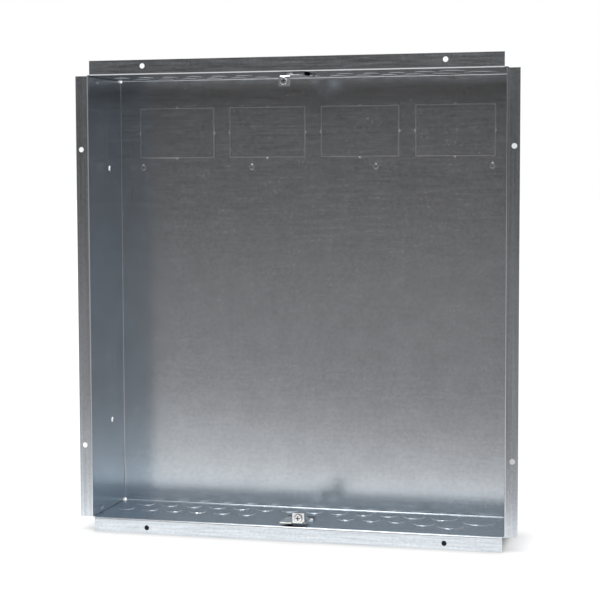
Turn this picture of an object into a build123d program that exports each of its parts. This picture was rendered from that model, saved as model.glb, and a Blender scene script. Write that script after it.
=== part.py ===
from build123d import *
import math
import os

os.makedirs("parts", exist_ok=True)

# Lengths are in millimetres and angles in degrees.
# The box stands upright, its front is open towards -Y and its back lies on the XZ plane.

# Folded box
box_width = 520.0
box_height = 554.0
box_depth = 116.0
sheet = 1.2
bend_inside = 1.0
side_flange = 15.0
end_flange = 17.0
end_flange_setback = 3.3
seam_gap = 0.4
corner_relief_radius = 1.5

# Corner tabs that lap the outside of the side walls, and their clinches
lap_gap = 0.2
lap_bend = 0.5
lap_height = 18.0
lap_back = 6.0
lap_front = 4.0
clinch_length = 10.5
clinch_width = 4.0
clinch_rise = 2.0
clinch_ramp = 3.0
clinch_from_front = 31.0
clinch_from_end = 7.5

# Flange and wall holes
flange_hole_radius = 3.25
end_hole_inset = 72.5
side_hole_inset = 92.0
flange_hole_share = 0.56
wall_hole_radius = 3.5
wall_hole_inset = 114.5
wall_hole_from_front = 72.0

# Knockouts, half sheared towards the inside
knockout_share = 0.58
knockout_taper = 38.0
knockout_sides = 14
window_margin = 28.2
window_height = 64.4
window_gap = 20.4
window_from_top = 37.0
window_count = 4
window_taper = 58.0
bridge_size = 3.0
bridge_proud = 0.35
bridge_taper = 40.0
bridge_turn = 45.0
pip_radius = 3.6
pip_from_windows = 12.6
pip_inner_spacing = 162.0
pip_inset = 32.0

# Round knockouts in the top and bottom walls
small_radius = 10.5
medium_radius = 13.25
large_radius = 16.5
largest_radius = 20.5
small_count = 11
row_left_margin = 29.0
row_right_margin = 21.0
large_web_share = 0.76
front_row_left_count = 6
front_row_right_count = 3
front_large_web = 4.6
rear_row_margin = 6.4
row_spacing = 32.2
largest_forward = 13.0
front_medium_forward = 6.0
front_large_forward = 12.6

# Cover brackets
bracket_sheet = 1.5
bracket_bend = 1.0
bracket_width = 31.2
bracket_setback = 1.0
foot_lift = 3.5
foot_depth = 32.0
upright_height = 17.0
upright_relief = 1.0
gusset_depth = 18.0
gusset_drop = 7.5
collar_wall = 1.1
collar_length = 2.0
tongue_width = 7.4
tongue_ramp = 4.5
tongue_seat = 6.0
tongue_side_clearance = 0.4
tongue_top_clearance = 0.5
tongue_end_clearance = 2.0
hood_roof = 9.0
hood_ramp = 5.0

# Cover screws
screw_radius = 2.5
thread_clearance = 0.05
screw_length = 16.0
head_radius = 4.7
head_height = 3.0
head_edge_share = 0.4
recess_width = 1.3
recess_length = 5.2
recess_depth = 1.7
recess_taper = 8.0
screw_point = 0.6
half_turn = 180.0

# Places that follow from the sizes above
front = -box_depth
half_width = box_width / 2
half_height = box_height / 2
inner_half_width = half_width - sheet
inner_half_height = half_height - sheet
bend_outside = bend_inside + sheet
side_wall_half = inner_half_height - seam_gap
end_flange_half = half_width - end_flange_setback
lap_face = half_width + lap_gap
lap_outside = lap_face + sheet
lap_end = half_height - lap_height
lap_length = box_depth - lap_back - lap_front
end_hole_rows = 2 * (half_height + end_flange * flange_hole_share)
side_hole_columns = 2 * (half_width + side_flange * flange_hole_share)
end_hole_spacing = box_width - 2 * end_hole_inset
side_hole_spacing = box_height - 2 * side_hole_inset
wall_hole_spacing = box_height - 2 * wall_hole_inset
clinch_level = half_height - clinch_from_end
clinch_start = front + clinch_from_front - clinch_length / 2
clinch_stop = front + clinch_from_front + clinch_length / 2
knockout_rise = sheet * knockout_share
bridge_rise = knockout_rise + bridge_proud
window_width = (box_width - 2 * window_margin - (window_count - 1) * window_gap) / window_count
window_pitch = window_width + window_gap
window_level = half_height - window_from_top - window_height / 2
pip_level = window_level - window_height / 2 - pip_from_windows
pip_outer_spacing = box_width - 2 * pip_inset

# Round knockouts as (x, y, radius): the webs share what the diameters leave of the row
row_length = box_width - row_left_margin - row_right_margin
rear_radii = [small_radius] * small_count + [medium_radius, large_radius, largest_radius]
rear_gaps = (small_count - 1) + large_web_share * (len(rear_radii) - small_count)
small_web = (row_length - 2 * sum(rear_radii)) / rear_gaps
large_web = small_web * large_web_share
small_pitch = 2 * small_radius + small_web
first_small = -half_width + row_left_margin + small_radius
last_small = first_small + (small_count - 1) * small_pitch
medium_x = last_small + small_radius + large_web + medium_radius
large_x = medium_x + medium_radius + large_web + large_radius
largest_x = large_x + large_radius + large_web + largest_radius
front_medium_x = (medium_x + large_x) / 2
front_large_x = front_medium_x + medium_radius + front_large_web + large_radius
rear_row = -rear_row_margin - large_radius
front_row = rear_row - row_spacing
front_places = list(range(front_row_left_count))
front_places += list(range(small_count + 1 - front_row_right_count, small_count + 1))
front_start = first_small - small_pitch / 2
knockouts = [(first_small + place * small_pitch, rear_row, small_radius) for place in range(small_count)]
knockouts += [(medium_x, rear_row, medium_radius), (large_x, rear_row, large_radius)]
knockouts += [(largest_x, rear_row - largest_forward, largest_radius)]
knockouts += [(front_start + place * small_pitch, front_row, small_radius) for place in front_places]
knockouts += [(front_medium_x, front_row - front_medium_forward, medium_radius)]
knockouts += [(front_large_x, front_row - front_large_forward, large_radius)]

# Bracket seat and the hoods that take the bracket tongues
half_bracket = bracket_width / 2
bracket_front = front + bracket_setback
bracket_outside = bracket_bend + bracket_sheet
seat = -inner_half_height
foot_base = seat + foot_lift
foot_end = bracket_front + foot_depth
tongue_start = foot_end + tongue_ramp
hood_mouth = tongue_start + tongue_seat
hood_offset = half_bracket - tongue_width / 2
hood_inside_half = tongue_width / 2 + tongue_side_clearance
hood_gap = bracket_sheet + tongue_top_clearance
hood_rise = hood_gap + sheet
hood_slope = math.atan2(hood_rise, hood_ramp)
hood_shift = sheet / math.sin(hood_slope)
hood_end = hood_mouth + hood_roof + hood_ramp
hood_inside_roof = hood_end - hood_ramp * hood_gap / hood_rise - hood_shift
hood_inside_end = hood_end + hood_ramp * sheet / hood_rise - hood_shift
tongue_end = hood_inside_roof - tongue_end_clearance
upright_top = seat + upright_height
upright_base = foot_base + bracket_outside
upright_edge = upright_relief / 2
relief_end = bracket_front + 2 * bracket_outside
gusset_end = bracket_front + gusset_depth
screw_x = (upright_edge + half_bracket) / 2
screw_z = (foot_base + bracket_sheet + upright_top) / 2
thread_radius = screw_radius + thread_clearance
head_edge = head_height * head_edge_share

with BuildPart() as back_box:
    # Side flanges, side walls and back, seen from above
    with BuildSketch(Plane.XY) as side_section:
        with BuildLine() as side_run:
            side_face = FilletPolyline(
                (-half_width - side_flange, front),
                (-inner_half_width, front),
                (-inner_half_width, -sheet),
                (inner_half_width, -sheet),
                (inner_half_width, front),
                (half_width + side_flange, front),
                radius=(bend_outside, bend_inside, bend_inside, bend_outside),
            )
            offset(side_face, amount=sheet, side=Side.LEFT)
        make_face()
    extrude(amount=side_wall_half, both=True)

    # End flanges, top and bottom walls and back, seen from the side
    with BuildSketch(Plane.YZ) as end_section:
        with BuildLine() as end_run:
            end_face = FilletPolyline(
                (front, -half_height - end_flange),
                (front, -inner_half_height),
                (-sheet, -inner_half_height),
                (-sheet, inner_half_height),
                (front, inner_half_height),
                (front, half_height + end_flange),
                radius=(bend_outside, bend_inside, bend_inside, bend_outside),
            )
            offset(end_face, amount=sheet, side=Side.RIGHT)
        make_face()
    extrude(amount=end_flange_half, both=True)

    # Top and bottom walls run past the side walls and turn down over them as corner tabs
    for level, outside in ((1, Side.LEFT), (-1, Side.RIGHT)):
        with BuildSketch(Plane.XZ.offset(lap_back)) as lap_section:
            with BuildLine() as lap_run:
                lap_line = FilletPolyline(
                    (-lap_face, level * lap_end),
                    (-lap_face, level * inner_half_height),
                    (lap_face, level * inner_half_height),
                    (lap_face, level * lap_end),
                    radius=lap_bend,
                )
                offset(lap_line, amount=sheet, side=outside)
            make_face()
        extrude(amount=lap_length)

    # Round relief holes where the bend lines cross at the back corners
    with Locations(Plane.XZ.offset(bend_outside)):
        with GridLocations(2 * (half_width - bend_outside), 2 * (half_height - bend_outside), 2, 2):
            Cylinder(corner_relief_radius, 2 * bend_outside, mode=Mode.SUBTRACT)

    # Clinches press each corner tab and side wall inwards together
    for side in (1, -1):
        for level in (1, -1):
            with BuildSketch(Plane.XY.offset(level * clinch_level)) as clinch_band:
                with BuildLine() as clinch_outline:
                    Polyline(
                        (side * lap_outside, clinch_start),
                        (side * inner_half_width, clinch_start),
                        (side * (inner_half_width - clinch_rise), clinch_start + clinch_ramp),
                        (side * (inner_half_width - clinch_rise), clinch_stop - clinch_ramp),
                        (side * inner_half_width, clinch_stop),
                        (side * lap_outside, clinch_stop),
                        close=True,
                    )
                make_face()
            extrude(amount=clinch_width / 2, both=True)
            with BuildSketch(Plane.XY.offset(level * clinch_level)) as clinch_dent:
                with BuildLine() as dent_outline:
                    Polyline(
                        (side * lap_outside, clinch_start),
                        (side * (lap_outside - clinch_rise), clinch_start + clinch_ramp),
                        (side * (lap_outside - clinch_rise), clinch_stop - clinch_ramp),
                        (side * lap_outside, clinch_stop),
                        close=True,
                    )
                make_face()
            extrude(amount=clinch_width / 2, both=True, mode=Mode.SUBTRACT)

    # Pressed hoods, open to the front: each wall has a pair, and a bracket tongue sits in one of them
    for level in (1, -1):
        for side in (1, -1):
            with BuildSketch(Plane.YZ.offset(side * hood_offset)) as hood_shell:
                with BuildLine() as hood_outline:
                    Polyline(
                        (hood_mouth, level * half_height),
                        (hood_mouth, level * (inner_half_height - hood_rise)),
                        (hood_mouth + hood_roof, level * (inner_half_height - hood_rise)),
                        (hood_end, level * inner_half_height),
                        (hood_end, level * half_height),
                        close=True,
                    )
                make_face()
            extrude(amount=hood_inside_half + sheet, both=True)
            with BuildSketch(Plane.YZ.offset(side * hood_offset)) as hood_inside:
                with BuildLine() as hood_inside_outline:
                    Polyline(
                        (hood_mouth, level * half_height),
                        (hood_mouth, level * (inner_half_height - hood_gap)),
                        (hood_inside_roof, level * (inner_half_height - hood_gap)),
                        (hood_inside_end, level * half_height),
                        close=True,
                    )
                make_face()
            extrude(amount=hood_inside_half, both=True, mode=Mode.SUBTRACT)

    # Fixing holes in the flanges
    with Locations(Plane.XZ.offset(box_depth)):
        with GridLocations(end_hole_spacing, end_hole_rows, 2, 2):
            Hole(flange_hole_radius, depth=sheet)
        with GridLocations(side_hole_columns, side_hole_spacing, 2, 2):
            Hole(flange_hole_radius, depth=sheet)

    # Fixing holes through both side walls
    with Locations(Plane.YZ.offset(half_width)):
        with Locations((front + wall_hole_from_front, 0)):
            with GridLocations(0, wall_hole_spacing, 1, 2):
                Hole(wall_hole_radius)

    # Window knockouts stand proud inside, leave a pocket outside and hang on small bridges
    with BuildSketch(Plane.XZ.offset(sheet)) as window_pads:
        with Locations((0, window_level)):
            with GridLocations(window_pitch, 0, window_count, 1):
                Rectangle(window_width, window_height)
    extrude(amount=knockout_rise, taper=window_taper)
    with BuildSketch(Plane.XZ.offset(sheet)) as window_bridges:
        with Locations((0, window_level)):
            with GridLocations(window_pitch, 0, window_count, 1):
                with GridLocations(window_width, 0, 2, 1):
                    Rectangle(bridge_size, bridge_size, rotation=bridge_turn)
                with GridLocations(0, window_height, 1, 2):
                    Rectangle(bridge_size, bridge_size, rotation=bridge_turn)
    extrude(amount=bridge_rise, taper=bridge_taper)
    with BuildSketch(Plane.XZ) as window_pockets:
        with Locations((0, window_level)):
            with GridLocations(window_pitch, 0, window_count, 1):
                Rectangle(window_width, window_height)
    extrude(amount=knockout_rise, mode=Mode.SUBTRACT)

    # Four small fixing knockouts below the windows
    with BuildSketch(Plane.XZ.offset(sheet)) as pip_pads:
        with Locations((0, pip_level)):
            with GridLocations(pip_inner_spacing, 0, 2, 1):
                RegularPolygon(pip_radius, side_count=knockout_sides)
            with GridLocations(pip_outer_spacing, 0, 2, 1):
                RegularPolygon(pip_radius, side_count=knockout_sides)
    extrude(amount=knockout_rise, taper=window_taper)
    with BuildSketch(Plane.XZ.offset(sheet)) as pip_bridges:
        with Locations((0, pip_level + pip_radius)):
            with GridLocations(pip_inner_spacing, 0, 2, 1):
                Rectangle(bridge_size, bridge_size, rotation=bridge_turn)
            with GridLocations(pip_outer_spacing, 0, 2, 1):
                Rectangle(bridge_size, bridge_size, rotation=bridge_turn)
    extrude(amount=bridge_rise, taper=bridge_taper)
    with BuildSketch(Plane.XZ) as pip_pockets:
        with Locations((0, pip_level)):
            with GridLocations(pip_inner_spacing, 0, 2, 1):
                RegularPolygon(pip_radius, side_count=knockout_sides)
            with GridLocations(pip_outer_spacing, 0, 2, 1):
                RegularPolygon(pip_radius, side_count=knockout_sides)
    extrude(amount=knockout_rise, mode=Mode.SUBTRACT)

    # Conduit knockouts in the top and bottom walls
    for level in (1, -1):
        wall_inside = Plane((0, 0, level * inner_half_height), x_dir=(1, 0, 0), z_dir=(0, 0, -level))
        wall_outside = wall_inside.offset(-sheet)
        with BuildSketch(wall_inside) as round_pads:
            for x, y, radius in knockouts:
                with Locations((x, -level * y)):
                    RegularPolygon(radius, side_count=knockout_sides)
        extrude(amount=knockout_rise, taper=knockout_taper)
        with BuildSketch(wall_outside) as round_pockets:
            for x, y, radius in knockouts:
                with Locations((x, -level * y)):
                    RegularPolygon(radius, side_count=knockout_sides)
        extrude(amount=knockout_rise, mode=Mode.SUBTRACT)

# Bottom bracket: a raised foot, an upright with a gusset at one half and a tongue at the other
with BuildPart() as bottom_bracket:
    with BuildSketch(Plane.YZ.offset(-half_bracket)) as tongue_section:
        with BuildLine() as tongue_run:
            tongue_face = FilletPolyline(
                (bracket_front, foot_base),
                (foot_end, foot_base),
                (tongue_start, seat),
                (tongue_end, seat),
                radius=(bracket_bend, bracket_outside),
            )
            offset(tongue_face, amount=bracket_sheet, side=Side.LEFT)
        make_face()
    extrude(amount=tongue_width)
    with BuildSketch(Plane.XY.offset(foot_base)) as foot_plan:
        with BuildLine() as foot_outline:
            Polyline(
                (-half_bracket, bracket_front),
                (-upright_edge, bracket_front),
                (-upright_edge, relief_end),
                (half_bracket, relief_end),
                (half_bracket, foot_end - bracket_bend),
                (-half_bracket, foot_end - bracket_bend),
                close=True,
            )
        make_face()
    extrude(amount=bracket_sheet)
    with BuildSketch(Plane.YZ.offset(upright_edge)) as upright_bend:
        with BuildLine() as upright_run:
            upright_face = FilletPolyline(
                (bracket_front, upright_base + bracket_sheet),
                (bracket_front, foot_base),
                (relief_end, foot_base),
                radius=bracket_outside,
            )
            offset(upright_face, amount=bracket_sheet, side=Side.LEFT)
        make_face()
    extrude(amount=half_bracket - bracket_outside - upright_edge)
    with BuildSketch(Plane.XY.offset(upright_base)) as gusset_section:
        with BuildLine() as gusset_run:
            gusset_face = FilletPolyline(
                (upright_edge, bracket_front),
                (half_bracket, bracket_front),
                (half_bracket, gusset_end),
                radius=bracket_outside,
            )
            offset(gusset_face, amount=bracket_sheet, side=Side.LEFT)
        make_face()
    extrude(amount=upright_top - upright_base)
    with BuildSketch(Plane.YZ.offset(upright_edge)) as gusset_cut:
        with BuildLine() as gusset_slope:
            Polyline(
                (bracket_front + bracket_outside, upright_top),
                (gusset_end, upright_top),
                (gusset_end, upright_top - gusset_drop),
                close=True,
            )
        make_face()
    extrude(amount=half_bracket - upright_edge, mode=Mode.SUBTRACT)
    with BuildSketch(Plane.XZ.offset(-bracket_front - bracket_sheet - collar_length)) as collar_ring:
        with Locations((screw_x, screw_z)):
            Circle(thread_radius + collar_wall)
    extrude(amount=collar_length)
    with Locations(Plane.XZ.offset(-bracket_front)):
        with Locations((screw_x, screw_z)):
            Hole(thread_radius, depth=bracket_sheet + collar_length)

# Bottom screw: pan head with a cross recess, seated on the upright
with BuildPart() as bottom_screw:
    with BuildSketch(Plane.XZ.offset(-bracket_front)) as head_disc:
        with Locations((screw_x, screw_z)):
            Circle(head_radius)
    extrude(amount=head_height)
    chamfer(bottom_screw.edges().filter_by(GeomType.CIRCLE).sort_by(Axis.Y)[0], head_edge)
    with BuildSketch(Plane.XZ.offset(-bracket_front)) as shank_disc:
        with Locations((screw_x, screw_z)):
            Circle(screw_radius)
    extrude(amount=-screw_length)
    chamfer(bottom_screw.edges().filter_by(GeomType.CIRCLE).sort_by(Axis.Y)[-1], screw_point)
    head_front = Plane((screw_x, bracket_front - head_height, screw_z), x_dir=(1, 0, 0), z_dir=(0, 1, 0))
    with BuildSketch(head_front) as cross_recess:
        Rectangle(recess_length, recess_width)
        Rectangle(recess_width, recess_length)
    extrude(amount=recess_depth, taper=recess_taper, mode=Mode.SUBTRACT)

# The top bracket and screw are the bottom ones after half a turn about the depth axis
with BuildPart() as top_bracket:
    add(bottom_bracket.part.rotate(Axis.Y, half_turn))
with BuildPart() as top_screw:
    add(bottom_screw.part.rotate(Axis.Y, half_turn))

back_box.part.label = "back_box"
bottom_bracket.part.label = "bottom_bracket"
bottom_screw.part.label = "bottom_screw"
top_bracket.part.label = "top_bracket"
top_screw.part.label = "top_screw"
export_step(back_box.part, "parts/back_box.step")
export_step(bottom_bracket.part, "parts/bottom_bracket.step")
export_step(bottom_screw.part, "parts/bottom_screw.step")
export_step(top_bracket.part, "parts/top_bracket.step")
export_step(top_screw.part, "parts/top_screw.step")
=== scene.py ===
import math

import bmesh
import bpy
from mathutils import Matrix, Vector


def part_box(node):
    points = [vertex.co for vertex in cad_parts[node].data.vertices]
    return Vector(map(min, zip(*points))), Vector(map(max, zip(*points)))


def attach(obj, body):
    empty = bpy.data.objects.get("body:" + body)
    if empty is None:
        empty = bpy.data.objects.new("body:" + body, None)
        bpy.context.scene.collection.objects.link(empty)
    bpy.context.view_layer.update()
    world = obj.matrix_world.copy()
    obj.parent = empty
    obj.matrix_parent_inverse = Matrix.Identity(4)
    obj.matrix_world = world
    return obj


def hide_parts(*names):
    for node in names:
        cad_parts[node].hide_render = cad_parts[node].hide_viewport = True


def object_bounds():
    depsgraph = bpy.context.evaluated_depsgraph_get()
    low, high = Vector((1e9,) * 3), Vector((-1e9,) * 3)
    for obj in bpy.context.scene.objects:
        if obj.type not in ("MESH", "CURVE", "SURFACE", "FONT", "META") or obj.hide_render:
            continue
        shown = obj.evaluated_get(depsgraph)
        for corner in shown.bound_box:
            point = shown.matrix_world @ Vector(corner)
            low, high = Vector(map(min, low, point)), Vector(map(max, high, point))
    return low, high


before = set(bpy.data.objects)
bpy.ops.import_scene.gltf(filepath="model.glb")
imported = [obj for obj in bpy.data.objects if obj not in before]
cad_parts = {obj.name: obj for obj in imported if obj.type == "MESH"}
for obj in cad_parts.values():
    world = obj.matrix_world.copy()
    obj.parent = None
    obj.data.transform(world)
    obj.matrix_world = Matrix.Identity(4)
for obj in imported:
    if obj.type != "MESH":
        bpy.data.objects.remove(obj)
cad_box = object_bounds()

# Sizes and places in metres: the floor and the back come from the frame, the rest are the box's own
low, high = cad_box
floor_level = low.z
box_width = 0.520
box_height = 0.554
box_depth = 0.116
sheet_thick = 0.0012
flange_front = high.y - box_depth
wall_side = box_width / 2
wall_end = box_height / 2

# Camera: place in metres, lens and sensor in millimetres
camera_place = Vector((0.49112, -1.99676, 0.14203))
camera_turn = math.radians(14.3125)
camera_tip = math.radians(-4.1263)
camera_roll = math.radians(-0.1791)
camera_lens = 96.748
camera_sensor = 36.0

# Zinc tints
sheet_tint = (0.49, 0.57, 0.64, 1)
bright_tint = (0.76, 0.80, 0.83, 1)
worked_tint = (0.74, 0.76, 0.78, 1)
# Painted shade: near black laid into narrow gaps and on the floor under the box
painted_shade_tint = (0.05, 0.05, 0.05, 1)
# Painted shade: dark grey laid on the inner side of the top wall
top_shade_tint = (0.24, 0.25, 0.26, 1)

# Tone of the sheet: the scale of each pattern, its share, and the darkest and lightest shades
grain_scale = 900.0
spangle_scale = 260.0
spangle_fineness = 0.6
cloud_scale = 30.0
cloud_detail = 4.0
upright_streaks = (420.0, 420.0, 5.0)
level_streaks = (25.0, 420.0, 420.0)
grain_share = 0.4
spangle_share = 0.65
cloud_share = 0.4
streak_share = 0.25
flange_streak_share = 0.9
middle_tone = 0.5
sheet_shades = (0.73, 1.25)

# Gloss of the sheet: a sharp reflection, uneven with its patterns, under a soft haze
sheet_rough = 0.2
rough_by_grain = 0.05
rough_by_streak = 0.1
rough_by_spangle = 0.06
sheet_bump = 0.04
bump_depth = 0.0002
haze_share = 0.42
haze_least = 0.64
haze_by_tone = 0.72
haze_index = 4.0
haze_rough = 0.35
wall_haze = 0.1
flange_haze = 0.7

# Where the sheet was sheared, pressed or folded, and the shade painted dark on the inner side of the top
# wall
square_least = 0.86
square_most = 0.97
fold_zone = 0.0045
fold_soft = 0.001
fold_share = 0.65
proud_soft = 0.0003
proud_clear = 0.004
worked_dullness = 0.35
back_shine = 0.6
top_shade_zone = 0.0035
top_shade_soft = 0.0004

# Shade painted dark into narrow gaps: how far to look, then how open the metal is deep in a gap and at its
# mouth
painted_shade_rays = 6
sheet_painted_shade = (0.004, 0.1, 0.6)
plating_painted_shade = (0.006, 0.3, 0.85)

# Bright plating
plating_grain_scale = 1400.0
plating_grain_detail = 2.0
plating_cloud_scale = 260.0
plating_shades = (0.84, 1.08)
plating_rough = 0.24
plating_uneven = 0.2
plating_bump = 0.05
plating_metal = 0.9

# Round knockouts and cut edges
weld_reach = 1e-6
height_digits = 6
flat_angle = math.radians(0.5)
soft_angle = math.radians(30)
flat_face_weight = 100
rim_margin = 0.004
rim_cuts = 3
ring_least = 10
bracket_edge = 0.00015

# Cover screws
head_height = 0.003
head_round = 0.0012
head_steps = 5
shank_radius = 0.0025
thread_pitch = 0.0008
thread_depth = 0.00045
turn_steps = 40
pitch_steps = 8
point_length = 0.0006
recess_reach = 0.0031
recess_half = 0.0008
recess_depth = 0.0017
recess_lead = recess_depth / 4
recess_shrink = 0.6

# World, and the floor as the camera sees it, with a shadow painted under and close to the box
white = (1, 1, 1, 1)
ambient_level = 0.40
floor_size = 80.0
floor_tint = (0.35, 0.35, 0.35, 1)
camera_lift = 0.88
fade_start = 0.6
fade_stop = 1.6
shade_rays = 8
shade_reach = 0.036
contact_share = 0.95
under_soft = 0.02

# The floor as the metal sees it: a pool of light, brighter close to the box, and a long tail
pool_dim = 0.08
pool_near = -0.10
pool_far = -1.10
pool_slant = -0.45
pool_level = 0.58
pool_tint = (1.05, 0.99, 0.95, 1)
pool_back = 0.02
pool_middle = -0.15
pool_half = 0.5
pool_edge = 0.4
pool_loss = 0.6
close_near = -0.15
close_far = -0.42
close_level = 0.5
tail_far = -18.0
tail_level = 0.215
tail_side = 1.0
tail_gain = 0.35
tail_tint = (1.11, 0.99, 0.95, 1)

# Tent of cards that only the metal sees
tent_width = 40.0
tent_length = 31.0
tent_height = 22.0
tent_back = 6.0
room_level = (0.027, 0.024, 0.020, 1)
glow_level = (1.06, 1.03, 1.04, 1)
glow_foot = 2.9
glow_head = 9.0
glow_slant = 0.05

# Softboxes: size and place in metres, power in watts
overhead_size = (2.4, 2.0)
overhead_place = (0.2, -0.9, 1.8)
overhead_aim = (0, -0.1, -0.1)
overhead_power = 10.0
small_size = (0.6, 0.4)
small_place = (-0.35, -0.95, 1.5)
small_aim = (0, -0.06, -0.27)
small_power = 8.0


class Wire:
    """A shader socket that takes part in Python sums: each sum adds its Math node."""

    def __init__(self, finish, socket):
        self.finish = finish
        self.socket = socket

    def __add__(self, other):
        return self.finish.maths("ADD", self, other)

    def __radd__(self, other):
        return self.finish.maths("ADD", other, self)

    def __sub__(self, other):
        return self.finish.maths("SUBTRACT", self, other)

    def __rsub__(self, other):
        return self.finish.maths("SUBTRACT", other, self)

    def __mul__(self, other):
        return self.finish.maths("MULTIPLY", self, other)

    def __rmul__(self, other):
        return self.finish.maths("MULTIPLY", other, self)

    def __truediv__(self, other):
        return self.finish.maths("DIVIDE", self, other)

    def __rtruediv__(self, other):
        return self.finish.maths("DIVIDE", other, self)

    def __abs__(self):
        return self.finish.maths("ABSOLUTE", self)


class Finish:
    """A node tree with one method for every node: its type, its settings and its sockets."""

    def __init__(self, tree):
        self.tree = tree
        tree.nodes.clear()

    def node(self, kind, settings=None, sockets=None, out=0):
        made = self.tree.nodes.new("ShaderNode" + kind)
        for name, value in (settings or {}).items():
            setattr(made, name, value)
        for name, value in (sockets or {}).items():
            if isinstance(value, Wire):
                self.tree.links.new(value.socket, made.inputs[name])
            else:
                made.inputs[name].default_value = value
        return Wire(self, made.outputs[out]) if made.outputs else None

    def maths(self, operation, first, second=0.0):
        return self.node("Math", {"operation": operation}, {0: first, 1: second})

    def largest(self, first, *others):
        for other in others:
            first = self.maths("MAXIMUM", first, other)
        return first

    def rise(self, value, start, stop):
        """0 up to the start and 1 from the stop on, with soft ends; a stop below the start runs down."""
        share = (value - start) / (stop - start)
        share = self.maths("MINIMUM", self.maths("MAXIMUM", share, 0.0), 1.0)
        return share * share * (3 - 2 * share)

    def mix_colour(self, share, first, second):
        return self.node("Mix", {"data_type": "RGBA"}, {0: share, 6: first, 7: second}, out=2)

    def stretch(self, vector, scale):
        return self.node("VectorMath", {"operation": "MULTIPLY"}, {0: vector, 1: scale})

    def parts(self, vector):
        return [self.node("SeparateXYZ", None, {0: vector}, out=axis) for axis in "XYZ"]

    def place(self):
        return self.node("NewGeometry", out="Position")

    def noise(self, vector, scale=1.0, detail=3.0, fineness=0.5):
        """A noise pattern that varies about 0."""
        sockets = {"Vector": vector, "Scale": scale, "Detail": detail, "Roughness": fineness}
        return self.node("TexNoise", {"noise_dimensions": "3D"}, sockets) - 0.5

    def openness(self, rays, reach):
        """1 in the open, and less the more a surface close by shuts a spot in."""
        return self.node("AmbientOcclusion", {"samples": rays}, {"Distance": reach}, out="AO")

    def show(self, shader, kind="Material"):
        self.node("Output" + kind, None, {"Surface": shader})


def new_finish(name):
    material = bpy.data.materials.new(name)
    material.use_nodes = True
    return material, Finish(material.node_tree)


def shades_of(tint, shares):
    return [tuple(min(1.0, channel * share) for channel in tint[:3]) + (1,) for share in shares]


def worked_metal(f, place, facing):
    """1 on the clinches and on slopes where the sheet was sheared or pressed, less on its upright folds."""
    slope = f.rise(f.largest(*f.parts(facing)), square_most, square_least)
    across, along, height = f.parts(place)
    side_fold = wall_side - fold_zone
    front_fold = flange_front + fold_zone
    at_side = f.rise(abs(across), side_fold, side_fold + fold_soft)
    at_back = f.rise(along, -fold_zone, fold_soft - fold_zone)
    at_front = f.rise(along, front_fold, front_fold - fold_soft)
    folded = slope * (1 - at_side * (at_back + at_front) * (1 - fold_share))
    proud_start = wall_side - sheet_thick - proud_soft / 2
    clear_end = wall_end - proud_clear
    proud = at_side * f.rise(abs(across), proud_start, proud_start - proud_soft)
    clear = f.rise(abs(height), clear_end, clear_end - proud_soft)
    clear = clear * f.rise(along, -proud_clear, -proud_clear - proud_soft)
    return f.largest(folded, proud * clear)


def painted_shade_under_top(f, height, level):
    """1 on the level faces of the top wall's inner side, where shade is painted into the colour."""
    top_shade_foot = wall_end - top_shade_zone
    top_shade_head = wall_end - sheet_thick / 2
    top_shade = f.rise(height, top_shade_foot, top_shade_foot + top_shade_soft)
    top_shade = top_shade * f.rise(height, top_shade_head, top_shade_head - top_shade_soft)
    return top_shade * f.rise(level, square_least, square_most)


def clear_of_painted_shade(f, reach, gap_deep, gap_mouth):
    """1 on open faces, falling to 0 deep in narrow gaps, where shade is painted into the colour."""
    return f.rise(f.openness(painted_shade_rays, reach), gap_deep, gap_mouth)


def galvanised_sheet():
    """Zinc-coated sheet: half-bright, with a fine spangle and faint rolling streaks."""
    material, f = new_finish("galvanised_sheet")
    place = f.place()
    facing = f.node("VectorMath", {"operation": "ABSOLUTE"}, {0: f.node("NewGeometry", out="True Normal")})
    across, along, height = f.parts(place)
    _, outward, level = f.parts(facing)
    at_side = f.rise(abs(across), wall_side - 2 * sheet_thick, wall_side - sheet_thick)
    at_back = f.rise(along, -fold_zone, fold_soft - fold_zone)
    at_flange = f.rise(along, flange_front + 2 * sheet_thick, flange_front + sheet_thick)
    worked = worked_metal(f, place, facing)
    unshaded = clear_of_painted_shade(f, *sheet_painted_shade)

    grain = f.noise(place, grain_scale)
    spangle = f.noise(place, spangle_scale, fineness=spangle_fineness)
    cloud = f.noise(place, cloud_scale, cloud_detail)
    upright_streak = f.noise(f.stretch(place, upright_streaks))
    level_streak = f.noise(f.stretch(place, level_streaks))
    streak = upright_streak * at_side + level_streak * (1 - at_side)
    tone = middle_tone + grain * grain_share + spangle * spangle_share + cloud * cloud_share
    tone = tone + streak * (streak_share + at_flange * flange_streak_share)

    colour = f.mix_colour(tone, *shades_of(sheet_tint, sheet_shades))
    # Painted shade: the inner side of the top wall is darkened to a dark grey
    colour = f.mix_colour(painted_shade_under_top(f, height, level), colour, top_shade_tint)
    colour = f.mix_colour(worked, colour, worked_tint)
    # Painted shade: the colour darkens to near black deep in narrow gaps
    colour = f.mix_colour(unshaded, painted_shade_tint, colour)
    rough = sheet_rough + grain * rough_by_grain + streak * rough_by_streak + spangle * rough_by_spangle
    bump = f.node("Bump", None, {"Strength": sheet_bump, "Distance": bump_depth, "Height": grain})
    metal = 1 - worked * worked_dullness * (1 - at_back * back_shine)
    haze = unshaded * (wall_haze + (1 - wall_haze) * outward) * (1 - at_flange * (1 - flange_haze))
    haze = haze * (haze_least + tone * haze_by_tone) * haze_share
    sockets = {"Base Color": colour, "Roughness": rough, "Metallic": metal, "Normal": bump}
    sockets |= {"Coat Weight": haze, "Coat IOR": haze_index, "Coat Roughness": haze_rough}
    f.show(f.node("BsdfPrincipled", None, sockets))
    return material


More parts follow.
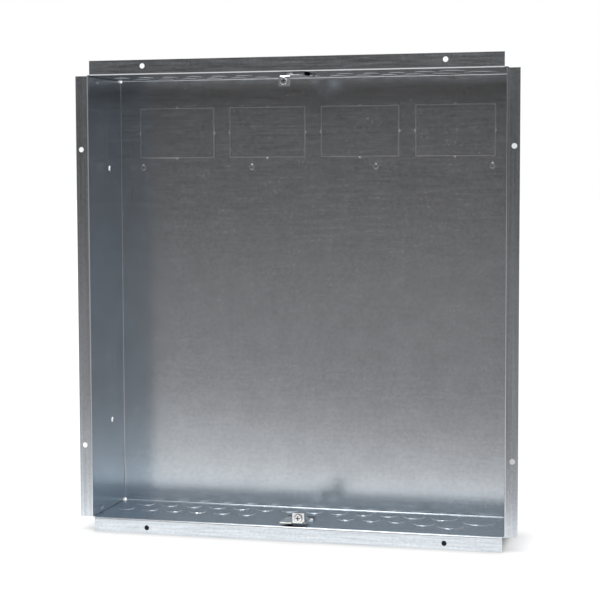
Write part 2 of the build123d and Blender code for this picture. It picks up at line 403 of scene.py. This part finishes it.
def bright_zinc(name):
    """Bright zinc plating, with shade painted dark into its gaps."""
    material, f = new_finish(name)
    place = f.place()
    grain = f.noise(place, plating_grain_scale, plating_grain_detail)
    cloud = f.noise(place, plating_cloud_scale)
    tone = (grain + cloud) / 2
    colour = f.mix_colour(middle_tone + tone, *shades_of(bright_tint, plating_shades))
    # Painted shade: the colour darkens to near black deep in gaps
    colour = f.mix_colour(clear_of_painted_shade(f, *plating_painted_shade), painted_shade_tint, colour)
    rough = plating_rough + tone * plating_uneven
    bump = f.node("Bump", None, {"Strength": plating_bump, "Distance": bump_depth, "Height": grain})
    sockets = {"Base Color": colour, "Roughness": rough, "Metallic": plating_metal, "Normal": bump}
    f.show(f.node("BsdfPrincipled", None, sockets))
    return material


def copy_solid(node):
    """A welded copy of a solid's mesh, with each flat face made whole."""
    form = bmesh.new()
    form.from_mesh(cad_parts[node].data)
    bmesh.ops.remove_doubles(form, verts=form.verts, dist=weld_reach)
    bmesh.ops.dissolve_limit(form, angle_limit=flat_angle, verts=form.verts, edges=form.edges)
    return form


def on_knockout_rim(face):
    """Whether a face is the sheared side of a round knockout in the top or bottom wall."""
    spot = face.calc_center_median()
    in_wall = abs(spot.z) > wall_end - 2 * sheet_thick
    clear_of_folds = flange_front + rim_margin < spot.y < -rim_margin
    clear_of_sides = abs(spot.x) < wall_side - rim_margin
    return in_wall and clear_of_folds and clear_of_sides and abs(face.normal.z) < square_least


def joined_groups(faces):
    """The faces in groups that share edges."""
    left = set(faces)
    groups = []
    for first in faces:
        if first in left:
            left.remove(first)
            group = [first]
            for face in group:
                near = [other for edge in face.edges for other in edge.link_faces if other in left]
                near = list(dict.fromkeys(near))
                left.difference_update(near)
                group.extend(near)
            groups.append(group)
    return groups


def round_off_knockouts(form):
    """Brings the many-sided round knockouts to true circles."""
    rims = [face for face in form.faces if on_knockout_rim(face)]
    for group in joined_groups(rims):
        corners = list(dict.fromkeys(corner for face in group for corner in face.verts))
        edges = list(dict.fromkeys(edge for face in group for edge in face.edges))
        edges = [edge for edge in edges if abs(edge.verts[0].co.z - edge.verts[1].co.z) < weld_reach]
        if len(group) < ring_least or len(edges) != 2 * len(group):
            continue
        middle = sum((corner.co for corner in corners), Vector()) / len(corners)
        radius_at = {round(corner.co.z, height_digits): (corner.co - middle).xy.length for corner in corners}
        made = bmesh.ops.subdivide_edges(form, edges=edges, cuts=rim_cuts, use_grid_fill=True)
        for item in made["geom"]:
            if isinstance(item, bmesh.types.BMVert) and item not in corners:
                spoke = (item.co - middle).xy
                radius = radius_at[round(item.co.z, height_digits)]
                item.co.xy = middle.xy + spoke * (radius / spoke.length)


def soften_edges(form, width):
    """Takes the sharpness off the outer edges of a pressed plate."""
    edges = [edge for edge in form.edges if edge.is_convex and edge.calc_face_angle(0.0) > soft_angle]
    bmesh.ops.bevel(form, geom=edges, affect="EDGES", offset=width, segments=2, profile=0.5,
                    clamp_overlap=True)


def new_object(form, name):
    mesh = bpy.data.meshes.new(name)
    form.to_mesh(mesh)
    form.free()
    piece = bpy.data.objects.new(name, mesh)
    bpy.context.scene.collection.objects.link(piece)
    return piece


def seat_piece(form, name, node, material):
    """Puts a finished mesh in the place of its solid, with the given material, and hides the solid."""
    piece = new_object(form, name)
    piece.data.shade_smooth()
    piece.data.set_sharp_from_angle(angle=soft_angle)
    even = piece.modifiers.new("even_faces", "WEIGHTED_NORMAL")
    even.weight = flat_face_weight
    even.keep_sharp = True
    piece.data.materials.append(material)
    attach(piece, "root")
    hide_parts(node)


def carve(form, tool):
    """The first form with the second cut out of it."""
    block = new_object(form, "block")
    cutter = new_object(tool, "cutter")
    cut = block.modifiers.new("cut", "BOOLEAN")
    cut.operation, cut.solver, cut.object = "DIFFERENCE", "EXACT", cutter
    shaped = block.evaluated_get(bpy.context.evaluated_depsgraph_get())
    result = bmesh.new()
    result.from_mesh(shaped.data)
    for leftover in (block, cutter):
        mesh = leftover.data
        bpy.data.objects.remove(leftover)
        bpy.data.meshes.remove(mesh)
    return result


def skin_rings(rings):
    """A closed form over rings of points, each ring given as a list of places."""
    form = bmesh.new()
    loops = [[form.verts.new(spot) for spot in ring] for ring in rings]
    for near, far in zip(loops, loops[1:]):
        for step in range(len(near)):
            following = (step + 1) % len(near)
            form.faces.new((near[step], near[following], far[following], far[step]))
    form.faces.new(reversed(loops[0]))
    form.faces.new(loops[-1])
    bmesh.ops.recalc_face_normals(form, faces=form.faces)
    return form


def screw_radius_at(depth, length, angle):
    """Radius of the shank's thread, at a depth below the head's front and an angle round the axis."""
    wave = 0.5 + 0.5 * math.cos(math.tau * depth / thread_pitch + angle)
    point = max(0.0, depth - (length - point_length))
    return shank_radius - thread_depth * (1 - wave) - point


def cross_outline(reach, half):
    corners = [(reach, -half), (reach, half), (half, half)]
    turns = [Matrix.Rotation(quarter * math.pi / 2, 2) for quarter in range(4)]
    return [turn @ Vector(corner) for turn in turns for corner in corners]


def cover_screw(node):
    """A pan-head screw with a cross recess and a rolled thread, on the axis of its solid."""
    near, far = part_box(node)
    middle = (near + far) / 2
    head_radius = (far.z - near.z) / 2
    length = far.y - near.y
    angles = [math.tau * step / turn_steps for step in range(turn_steps)]

    def ring(depth, radii):
        return [(middle.x + radius * math.cos(angle), near.y + depth, middle.z + radius * math.sin(angle))
                for radius, angle in zip(radii, angles)]

    rings = []
    for step in range(head_steps + 1):
        bend = math.pi / 2 * step / head_steps
        radius = head_radius - head_round * (1 - math.sin(bend))
        rings.append(ring(head_round * (1 - math.cos(bend)), [radius] * turn_steps))
    rings.append(ring(head_height, [head_radius] * turn_steps))
    thread_steps = round((length - head_height) / thread_pitch * pitch_steps)
    for step in range(thread_steps + 1):
        depth = head_height + (length - head_height) * step / thread_steps
        rings.append(ring(depth, [screw_radius_at(depth, length, angle) for angle in angles]))
    recess = []
    for depth, share in ((-recess_lead, 1.0), (recess_depth, recess_shrink)):
        outline = cross_outline(recess_reach * share, recess_half * share)
        recess.append([(middle.x + spot.x, near.y + depth, middle.z + spot.y) for spot in outline])
    return carve(skin_rings(rings), skin_rings(recess))


def light_world():
    """A surround that is white where it is seen or mirrored, and dimmer as a light."""
    world = bpy.data.worlds.new("white_surround")
    bpy.context.scene.world = world
    world.use_nodes = True
    f = Finish(world.node_tree)
    rays = ("Is Camera Ray", "Is Glossy Ray", "Is Transmission Ray")
    seen = f.largest(*[f.node("LightPath", out=ray) for ray in rays])
    strength = seen + (1 - seen) * ambient_level
    f.show(f.node("Background", None, {"Color": white, "Strength": strength}), "World")


def floor_to_camera(f, place):
    """A pale floor that turns white further off, with a painted shadow under the box and a painted contact
    shadow close to it, besides the lamps' own shadow on its pale part.
    """
    across, along, _ = f.parts(place)
    away = f.node("VectorMath", {"operation": "LENGTH"}, {0: place}, out="Value")
    far = f.rise(away, fade_start, fade_stop)
    # Painted shadow: under the box the floor takes the dark tint and gets no lift
    beneath = f.rise(abs(across), wall_side, wall_side - under_soft)
    beneath = beneath * f.rise(along, flange_front, flange_front + sheet_thick)
    beneath = beneath * f.rise(along, under_soft, 0.0)
    # Painted contact shadow: the white lift falls where the box shuts the floor in
    contact = (1 - f.openness(shade_rays, shade_reach)) * contact_share
    lift = camera_lift * (1 - beneath) * (1 - contact)
    pale = f.node("BsdfDiffuse", None, {"Color": f.mix_colour(beneath, floor_tint, painted_shade_tint)})
    glow = f.node("Emission", None, {"Color": white, "Strength": far + (1 - far) * lift})
    return f.node("AddShader", None, {0: pale, 1: glow})


def floor_to_metal(f, place):
    """The light that the floor gives to the metal, strongest in front of the box."""
    across, along, _ = f.parts(place)
    pool = f.rise(along + across * pool_slant, pool_far, pool_near)
    close = f.rise(along, close_far, close_near)
    tail = f.rise(along, tail_far, pool_far) * (1 + f.rise(across, 0.0, tail_side) * tail_gain)
    behind = f.rise(along, pool_back, pool_back + pool_edge)
    aside = f.rise(abs(across - pool_middle), pool_half, pool_half + pool_edge)
    in_front = 1 - f.largest(behind, aside) * pool_loss
    level = pool_dim + tail * tail_level + (pool * pool_level + close * close_level) * in_front
    colour = f.mix_colour(pool, tail_tint, pool_tint)
    return f.node("Emission", None, {"Color": colour, "Strength": level})


def lay_floor():
    bpy.ops.mesh.primitive_plane_add(size=floor_size, location=(0, 0, floor_level))
    floor = bpy.context.object
    floor.name = "floor"
    material, f = new_finish("pale_floor")
    place = f.place()
    in_metal = f.node("LightPath", out="Is Glossy Ray")
    sides = {0: in_metal, 1: floor_to_camera(f, place), 2: floor_to_metal(f, place)}
    f.show(f.node("MixShader", None, sides))
    floor.data.materials.append(material)


def hang_card(name, width, height, place, turn, glows):
    """A dark card that only the metal sees; one that glows is brighter higher up and to the right."""
    bpy.ops.mesh.primitive_plane_add(size=1.0, location=place, rotation=turn)
    card = bpy.context.object
    card.name = name
    card.scale = (width, height, 1)
    material, f = new_finish(name)
    colour = room_level
    if glows:
        across, _, level = f.parts(f.place())
        glow = f.rise(level + across * glow_slant, glow_foot, glow_head)
        colour = f.mix_colour(glow, room_level, glow_level)
    f.show(f.node("Emission", None, {"Color": colour, "Strength": 1.0}))
    card.data.materials.append(material)
    card.visible_camera = False
    card.visible_diffuse = False
    card.visible_shadow = False


def hang_tent():
    """Cards in front of the box, at both sides and above it."""
    upright = math.pi / 2
    side = tent_width / 2
    front = tent_back - tent_length
    middle = tent_back - tent_length / 2
    half_up = floor_level + tent_height / 2
    hang_card("front_card", tent_width, tent_height, (0, front, half_up), (upright, 0, 0), True)
    for name, across, glows in (("right_card", side, True), ("left_card", -side, False)):
        hang_card(name, tent_length, tent_height, (across, middle, half_up), (upright, 0, upright), glows)
    top = (0, middle, floor_level + tent_height)
    hang_card("top_card", tent_width, tent_length, top, (0, 0, 0), False)


def hang_softbox(name, size, place, aim, power):
    lamp = bpy.data.lights.new(name, "AREA")
    lamp.shape = "RECTANGLE"
    lamp.size, lamp.size_y = size
    lamp.energy = power
    holder = bpy.data.objects.new(name, lamp)
    holder.location = place
    holder.rotation_euler = (Vector(aim) - Vector(place)).to_track_quat("-Z", "Y").to_euler()
    bpy.context.scene.collection.objects.link(holder)


def set_camera():
    lens = bpy.data.cameras.new("camera")
    lens.lens, lens.sensor_width = camera_lens, camera_sensor
    camera = bpy.data.objects.new("camera", lens)
    turn = Matrix.Rotation(camera_turn, 4, "Z") @ Matrix.Rotation(math.pi / 2 + camera_tip, 4, "X")
    camera.matrix_world = Matrix.Translation(camera_place) @ turn @ Matrix.Rotation(camera_roll, 4, "Z")
    bpy.context.scene.collection.objects.link(camera)
    bpy.context.scene.camera = camera


# Finishes
sheet = galvanised_sheet()
zinc = bright_zinc("bright_zinc")
screw_zinc = bright_zinc("screw_zinc")

# Pieces, each in the place of its solid
box_form = copy_solid("back_box")
round_off_knockouts(box_form)
seat_piece(box_form, "folded_box", "back_box", sheet)
for end in ("bottom", "top"):
    plate = copy_solid(end + "_bracket")
    soften_edges(plate, bracket_edge)
    seat_piece(plate, end + "_cover_bracket", end + "_bracket", zinc)
    screw = cover_screw(end + "_screw")
    seat_piece(screw, end + "_cover_screw", end + "_screw", screw_zinc)

# Stage
light_world()
lay_floor()
hang_tent()
hang_softbox("overhead_softbox", overhead_size, overhead_place, overhead_aim, overhead_power)
hang_softbox("small_softbox", small_size, small_place, small_aim, small_power)
set_camera()
bpy.context.scene.view_settings.view_transform = "Standard"
